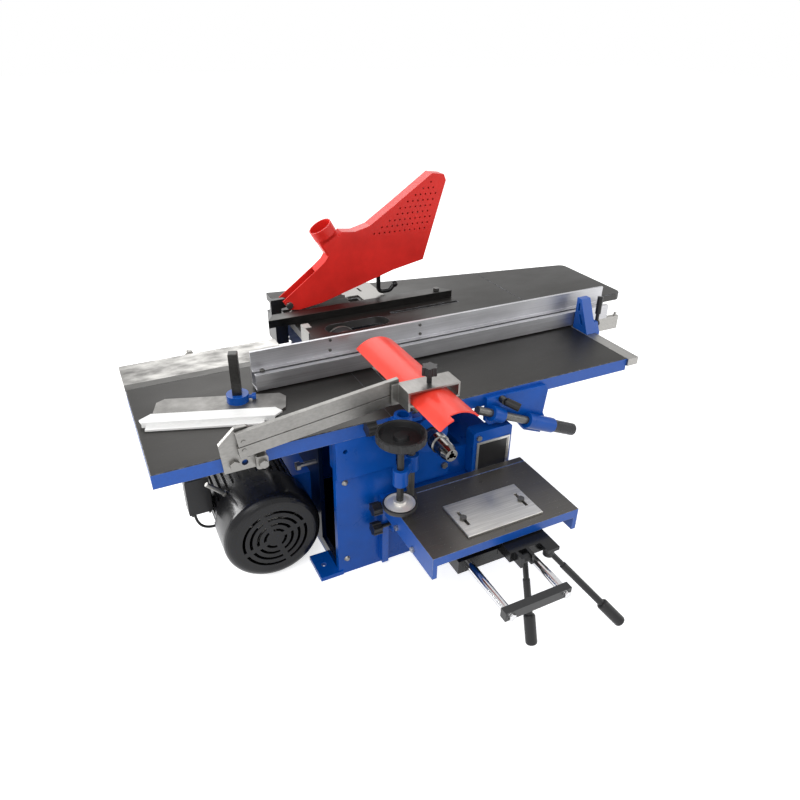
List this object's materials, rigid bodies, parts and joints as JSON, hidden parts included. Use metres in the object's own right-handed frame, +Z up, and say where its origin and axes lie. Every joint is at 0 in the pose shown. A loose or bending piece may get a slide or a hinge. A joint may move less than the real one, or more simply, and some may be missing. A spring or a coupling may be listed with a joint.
{
  "type": "combination woodworking machine",
  "caption": "Bench combination woodworking machine: surface planer with tilting fence, rip saw table with hood and slot mortiser on one belt-driven spindle.",
  "frame": {"origin": "middle of the four foot bolt holes, on the floor", "axes": "+X along the planer tables to the infeed end, +Y to the saw side away from the operator, +Z up"},
  "size_m": [1.355, 1.1303, 0.704],
  "materials": {
    "blue_paint": "semi-gloss blue machine paint",
    "black_paint": "satin black paint",
    "red_paint": "gloss red-orange paint",
    "red_plastic": "gloss red moulding",
    "black_plastic": "moulded black",
    "ground_iron": "ground grey iron top, blue painted edges",
    "steel": "machined and brushed",
    "chrome": "bright ground",
    "aluminium": "satin anodised extrusion",
    "rubber": "matt black"
  },
  "bodies": {
    "frame": {"base_frame": "blue_paint", "front_cover": "blue_paint", "bearing_brackets": "blue_paint", "saw_bracket": "blue_paint", "spindle_bearings": "steel", "drive_belt": "rubber", "motor_frame": "black_paint", "motor_cowl": "black_paint", "motor_cradle": "blue_paint", "switch_box": "black_plastic", "motor_lead": "rubber", "feed_housing": "blue_paint", "name_plate": "black_paint", "fasteners": "steel", "outfeed_table": "ground_iron", "rear_plate": "steel", "arm_base": "steel", "post_socket": "blue_paint", "press_shoe": "steel", "shoe_collar": "blue_paint"},
    "spindle": {"spindle_shaft": "steel", "cutterblock": "steel", "saw_blade": "steel", "drill_chuck": "chrome"},
    "rotor": {"motor_rotor": "steel"},
    "infeed": {"infeed_table": "ground_iron", "infeed_bracket": "blue_paint", "fence_rail": "steel"},
    "height_screw": {"height_screw": "steel"},
    "table_lock": {"table_lock_lever": "black_plastic"},
    "fence_carriage": {"fence_bracket": "blue_paint"},
    "fence": {"fence_profile": "aluminium"},
    "fence_lock": {"fence_lock_lever": "black_plastic"},
    "arm_upper": {"upper_link": "steel"},
    "arm_lower": {"lower_link": "steel"},
    "head": {"guard_head": "steel"},
    "head_knob": {"head_knob": "black_plastic"},
    "bridge": {"bridge_guard": "red_paint"},
    "saw_table": {"saw_table": "ground_iron", "saw_fittings": "steel", "guard_post": "black_paint"},
    "mitre": {"mitre_bar": "steel"},
    "hood": {"saw_guard": "red_plastic", "dust_nozzle": "red_plastic", "guard_hook": "black_paint"},
    "lift": {"lift_bracket": "blue_paint", "cross_rods": "chrome"},
    "lift_knob_upper": {"lift_knob_upper": "black_plastic"},
    "lift_knob_lower": {"lift_knob_lower": "black_plastic"},
    "carriage": {"mortise_carriage": "black_paint"},
    "travel_lever": {"travel_lever": "black_paint"},
    "mortise": {"mortise_table": "ground_iron", "mortise_fittings": "steel", "clamp_arm": "blue_paint"},
    "cross_lever": {"cross_lever": "black_paint"},
    "stop": {"stop_plate": "steel"},
    "clamp": {"clamp_pad": "steel"},
    "wheel": {"clamp_handwheel": "black_plastic"},
    "socket_knob": {"socket_knob": "black_plastic"},
    "shoe_post": {"shoe_post": "steel"}
  },
  "joints": [
    {"name": "spindle_spin", "type": "hinge", "parent": "frame", "child": "spindle", "pos_m": [0, 0, 0.33], "axis": [0, 1, 0], "continuous": true},
    {"name": "motor_spin", "type": "hinge", "parent": "frame", "child": "rotor", "pos_m": [-0.314, 0, 0.11], "axis": [0, 1, 0], "continuous": true},
    {"name": "infeed_lift", "type": "slide", "parent": "frame", "child": "infeed", "axis": [0, 0, 1], "range_m": [-0.003, 0]},
    {"name": "height_screw_turn", "type": "hinge", "parent": "infeed", "child": "height_screw", "pos_m": [0.223, -0.207, 0.308], "axis": [0.9135, 0, -0.4067], "range_deg": [-721, 1]},
    {"name": "table_lock_turn", "type": "hinge", "parent": "infeed", "child": "table_lock", "pos_m": [0.176, -0.2, 0.364], "axis": [0, 1, 0], "range_deg": [-60, 15]},
    {"name": "fence_slide", "type": "slide", "parent": "infeed", "child": "fence_carriage", "axis": [0, 1, 0], "range_m": [0, 0.04]},
    {"name": "fence_tilt", "type": "hinge", "parent": "fence_carriage", "child": "fence", "pos_m": [0.611, 0.058, 0.392], "axis": [-1, 0, 0], "range_deg": [0, 45]},
    {"name": "fence_lock_turn", "type": "hinge", "parent": "fence_carriage", "child": "fence_lock", "pos_m": [0.58, -0.014, 0.392], "axis": [1, 0, 0], "range_deg": [-5, 60]},
    {"name": "arm_upper_swing", "type": "hinge", "parent": "frame", "child": "arm_upper", "pos_m": [-0.372, -0.2, 0.415], "axis": [0, -1, 0], "range_deg": [-2, 17]},
    {"name": "arm_lower_swing", "type": "hinge", "parent": "frame", "child": "arm_lower", "pos_m": [-0.372, -0.2, 0.397], "axis": [0, -1, 0], "range_deg": [-2.1, 17.1]},
    {"name": "head_level", "type": "hinge", "parent": "arm_upper", "child": "head", "pos_m": [-0.07821, -0.2, 0.45107], "axis": [0, -1, 0], "range_deg": [-17.1, 2.1]},
    {"name": "head_knob_turn", "type": "hinge", "parent": "head", "child": "head_knob", "pos_m": [-0.021, -0.229, 0.47], "axis": [0, 0, 1], "range_deg": [-180, 180]},
    {"name": "guard_slide", "type": "slide", "parent": "head", "child": "bridge", "axis": [0, 1, 0], "range_m": [-0.15, 0]},
    {"name": "saw_table_lift", "type": "slide", "parent": "frame", "child": "saw_table", "axis": [0, 0, 1], "range_m": [0, 0.045]},
    {"name": "mitre_swivel", "type": "hinge", "parent": "saw_table", "child": "mitre", "pos_m": [0.315, 0.3375, 0.388], "axis": [0, 0, 1], "range_deg": [0, 6]},
    {"name": "saw_guard_lift", "type": "hinge", "parent": "saw_table", "child": "hood", "pos_m": [-0.092, 0.41, 0.404], "axis": [0, -1, 0], "range_deg": [0, 40]},
    {"name": "mortise_lift", "type": "slide", "parent": "frame", "child": "lift", "axis": [0, 0, 1], "range_m": [-0.07, 0]},
    {"name": "lift_knob_upper_turn", "type": "hinge", "parent": "lift", "child": "lift_knob_upper", "pos_m": [-0.115, -0.1965, 0.172], "axis": [1, 0, 0], "range_deg": [-180, 180]},
    {"name": "lift_knob_lower_turn", "type": "hinge", "parent": "lift", "child": "lift_knob_lower", "pos_m": [-0.115, -0.1965, 0.12], "axis": [1, 0, 0], "range_deg": [-180, 180]},
    {"name": "mortise_cross", "type": "slide", "parent": "lift", "child": "carriage", "axis": [0, 1, 0], "range_m": [-0.035, 0]},
    {"name": "travel_lever_swing", "type": "hinge", "parent": "carriage", "child": "travel_lever", "pos_m": [0.075, -0.452, 0.174], "axis": [-1, 0, 0], "range_deg": [0, 10.1]},
    {"name": "mortise_travel", "type": "slide", "parent": "carriage", "child": "mortise", "axis": [1, 0, 0], "range_m": [-0.06, 0.015]},
    {"name": "cross_lever_swing", "type": "hinge", "parent": "carriage", "child": "cross_lever", "pos_m": [0.132, -0.452, 0.17], "axis": [0, 0, 1], "range_deg": [-5.1, 20.1]},
    {"name": "stop_slide", "type": "slide", "parent": "mortise", "child": "stop", "axis": [0, 1, 0], "range_m": [-0.015, 0.015]},
    {"name": "clamp_travel", "type": "slide", "parent": "mortise", "child": "clamp", "axis": [0, 0, 1], "range_m": [-0.018, 0.005]},
    {"name": "handwheel_turn", "type": "hinge", "parent": "clamp", "child": "wheel", "pos_m": [-0.1, -0.272, 0.38], "axis": [0, 0, 1], "range_deg": [-1621, 451]},
    {"name": "socket_knob_turn", "type": "hinge", "parent": "frame", "child": "socket_knob", "pos_m": [-0.13, -0.205, 0.378], "axis": [1, 0, 0], "range_deg": [-180, 180]},
    {"name": "shoe_post_slide", "type": "slide", "parent": "frame", "child": "shoe_post", "axis": [0, 0, 1], "range_m": [0, 0.04]}
  ],
  "couplings": [
    {"joint": "motor_spin", "follows": "spindle_spin", "ratio": 1},
    {"joint": "height_screw_turn", "follows": "infeed_lift", "rad_per_m": 4188.8},
    {"joint": "arm_lower_swing", "follows": "arm_upper_swing", "ratio": 1},
    {"joint": "head_level", "follows": "arm_upper_swing", "ratio": -1},
    {"joint": "travel_lever_swing", "follows": "mortise_cross", "rad_per_m": -4.9867},
    {"joint": "cross_lever_swing", "follows": "mortise_travel", "rad_per_m": -5.82},
    {"joint": "handwheel_turn", "follows": "clamp_travel", "rad_per_m": 1570.8}
  ]
}
